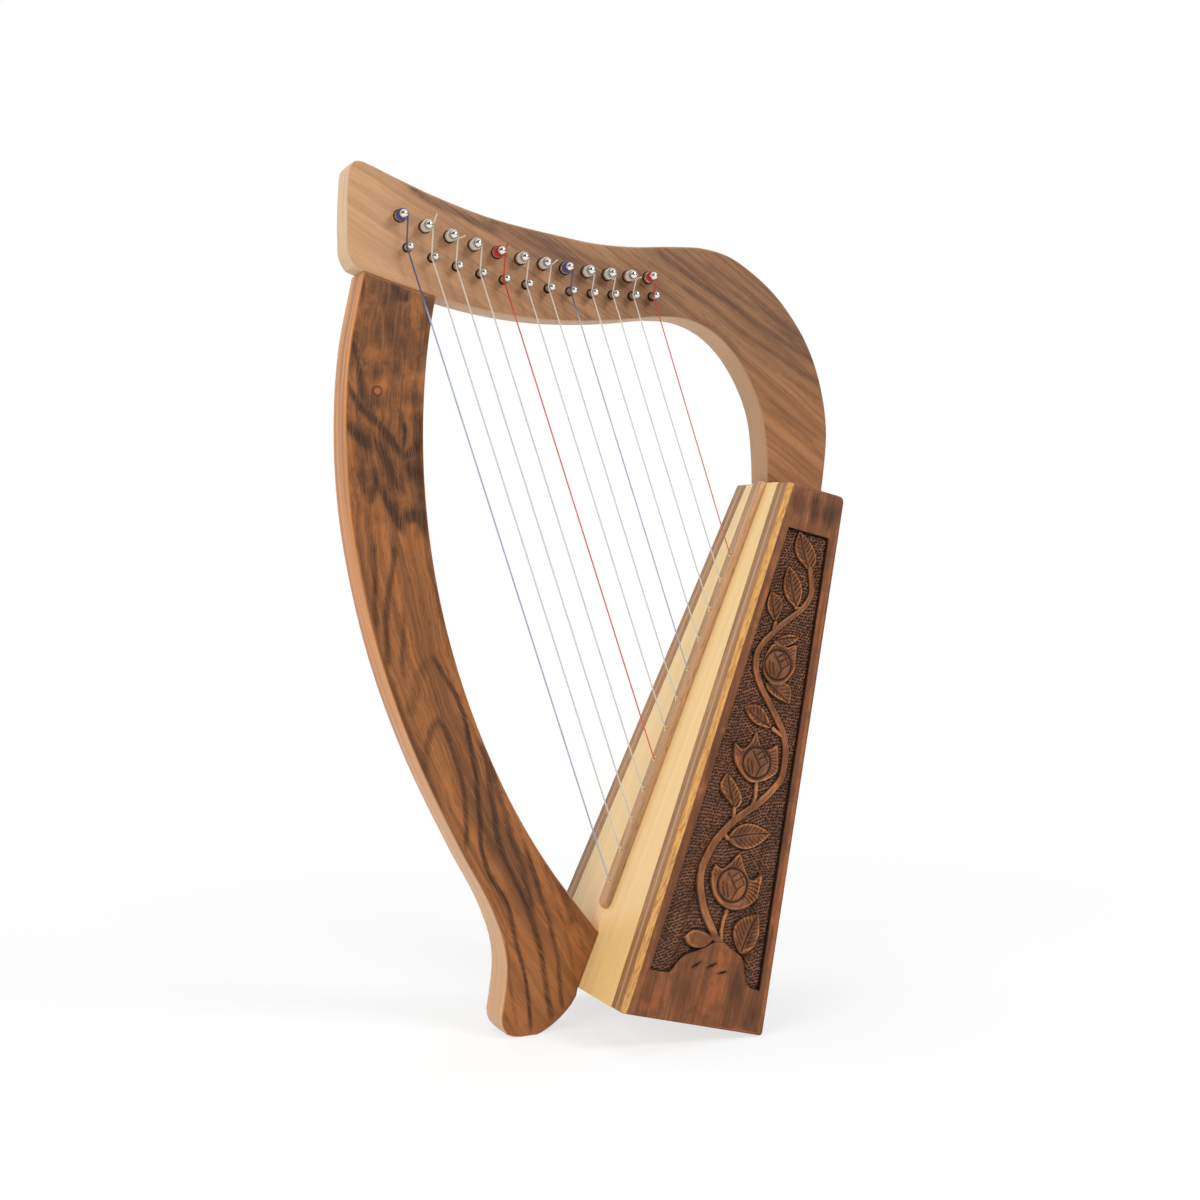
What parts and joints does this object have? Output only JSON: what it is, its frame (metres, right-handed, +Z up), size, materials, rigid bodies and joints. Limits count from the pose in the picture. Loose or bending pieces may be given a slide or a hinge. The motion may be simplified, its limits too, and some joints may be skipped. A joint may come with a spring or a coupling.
{
  "type": "lap harp",
  "caption": "Small lap harp: curved one-piece neck, bowed pillar and tapered soundbox with carved sides, strung with nylon on turning pins.",
  "frame": {"origin": "under the middle of the whole outline, on the surface the harp stands on", "axes": "+Z up; +X from the pillar to the soundbox; the strings are seen from -Y"},
  "size_m": [0.3249, 0.1448, 0.5328],
  "materials": {
    "walnut_neck": "satin lacquered walnut with pale edges",
    "walnut_pillar": "satin lacquered figured walnut over pale plies",
    "walnut_carved": "satin lacquered walnut, carved in low relief",
    "spruce_board": "satin lacquered pale softwood",
    "walnut_rib": "satin lacquered walnut",
    "inner_wood": "bare sawn wood",
    "back_walnut": "satin lacquered walnut",
    "pin_chrome": "polished plated steel",
    "string_blue": "smooth nylon",
    "string_clear": "smooth nylon",
    "string_red": "smooth nylon"
  },
  "bodies": {
    "frame": {"neck": "walnut_neck", "pillar": "walnut_pillar", "soundboard": "spruce_board", "string_rib": "walnut_rib", "inner_string_rib": "inner_wood", "side_panel_near": "walnut_carved", "side_panel_far": "walnut_carved", "back_panel": "back_walnut", "top_block": "inner_wood", "bottom_block": "inner_wood", "guide_pin_01": "pin_chrome", "string_01": "string_blue", "guide_pin_02": "pin_chrome", "string_02": "string_clear", "guide_pin_03": "pin_chrome", "string_03": "string_clear", "guide_pin_04": "pin_chrome", "string_04": "string_clear", "guide_pin_05": "pin_chrome", "string_05": "string_red", "guide_pin_06": "pin_chrome", "string_06": "string_clear", "guide_pin_07": "pin_chrome", "string_07": "string_clear", "guide_pin_08": "pin_chrome", "string_08": "string_blue", "guide_pin_09": "pin_chrome", "string_09": "string_clear", "guide_pin_10": "pin_chrome", "string_10": "string_clear", "guide_pin_11": "pin_chrome", "string_11": "string_clear", "guide_pin_12": "pin_chrome", "string_12": "string_red"},
    "pin_01": {"tuning_pin_01": "pin_chrome", "string_coil_01": "string_blue"},
    "pin_02": {"tuning_pin_02": "pin_chrome", "string_coil_02": "string_clear"},
    "pin_03": {"tuning_pin_03": "pin_chrome", "string_coil_03": "string_clear"},
    "pin_04": {"tuning_pin_04": "pin_chrome", "string_coil_04": "string_clear"},
    "pin_05": {"tuning_pin_05": "pin_chrome", "string_coil_05": "string_red"},
    "pin_06": {"tuning_pin_06": "pin_chrome", "string_coil_06": "string_clear"},
    "pin_07": {"tuning_pin_07": "pin_chrome", "string_coil_07": "string_clear"},
    "pin_08": {"tuning_pin_08": "pin_chrome", "string_coil_08": "string_blue"},
    "pin_09": {"tuning_pin_09": "pin_chrome", "string_coil_09": "string_clear"},
    "pin_10": {"tuning_pin_10": "pin_chrome", "string_coil_10": "string_clear"},
    "pin_11": {"tuning_pin_11": "pin_chrome", "string_coil_11": "string_clear"},
    "pin_12": {"tuning_pin_12": "pin_chrome", "string_coil_12": "string_red"}
  },
  "joints": [
    {"name": "tuning_pin_01_turn", "type": "hinge", "parent": "frame", "child": "pin_01", "pos_m": [-0.12493, -0.004, 0.50138], "axis": [0, -1, 0], "continuous": true},
    {"name": "tuning_pin_02_turn", "type": "hinge", "parent": "frame", "child": "pin_02", "pos_m": [-0.10951, -0.004, 0.49547], "axis": [0, -1, 0], "continuous": true},
    {"name": "tuning_pin_03_turn", "type": "hinge", "parent": "frame", "child": "pin_03", "pos_m": [-0.09424, -0.004, 0.49025], "axis": [0, -1, 0], "continuous": true},
    {"name": "tuning_pin_04_turn", "type": "hinge", "parent": "frame", "child": "pin_04", "pos_m": [-0.07914, -0.004, 0.4857], "axis": [0, -1, 0], "continuous": true},
    {"name": "tuning_pin_05_turn", "type": "hinge", "parent": "frame", "child": "pin_05", "pos_m": [-0.06419, -0.004, 0.48178], "axis": [0, -1, 0], "continuous": true},
    {"name": "tuning_pin_06_turn", "type": "hinge", "parent": "frame", "child": "pin_06", "pos_m": [-0.0494, -0.004, 0.47845], "axis": [0, -1, 0], "continuous": true},
    {"name": "tuning_pin_07_turn", "type": "hinge", "parent": "frame", "child": "pin_07", "pos_m": [-0.03478, -0.004, 0.47569], "axis": [0, -1, 0], "continuous": true},
    {"name": "tuning_pin_08_turn", "type": "hinge", "parent": "frame", "child": "pin_08", "pos_m": [-0.02031, -0.004, 0.47347], "axis": [0, -1, 0], "continuous": true},
    {"name": "tuning_pin_09_turn", "type": "hinge", "parent": "frame", "child": "pin_09", "pos_m": [-0.006, -0.004, 0.47175], "axis": [0, -1, 0], "continuous": true},
    {"name": "tuning_pin_10_turn", "type": "hinge", "parent": "frame", "child": "pin_10", "pos_m": [0.00815, -0.004, 0.47052], "axis": [0, -1, 0], "continuous": true},
    {"name": "tuning_pin_11_turn", "type": "hinge", "parent": "frame", "child": "pin_11", "pos_m": [0.02214, -0.004, 0.46974], "axis": [0, -1, 0], "continuous": true},
    {"name": "tuning_pin_12_turn", "type": "hinge", "parent": "frame", "child": "pin_12", "pos_m": [0.03597, -0.004, 0.46938], "axis": [0, -1, 0], "continuous": true}
  ]
}
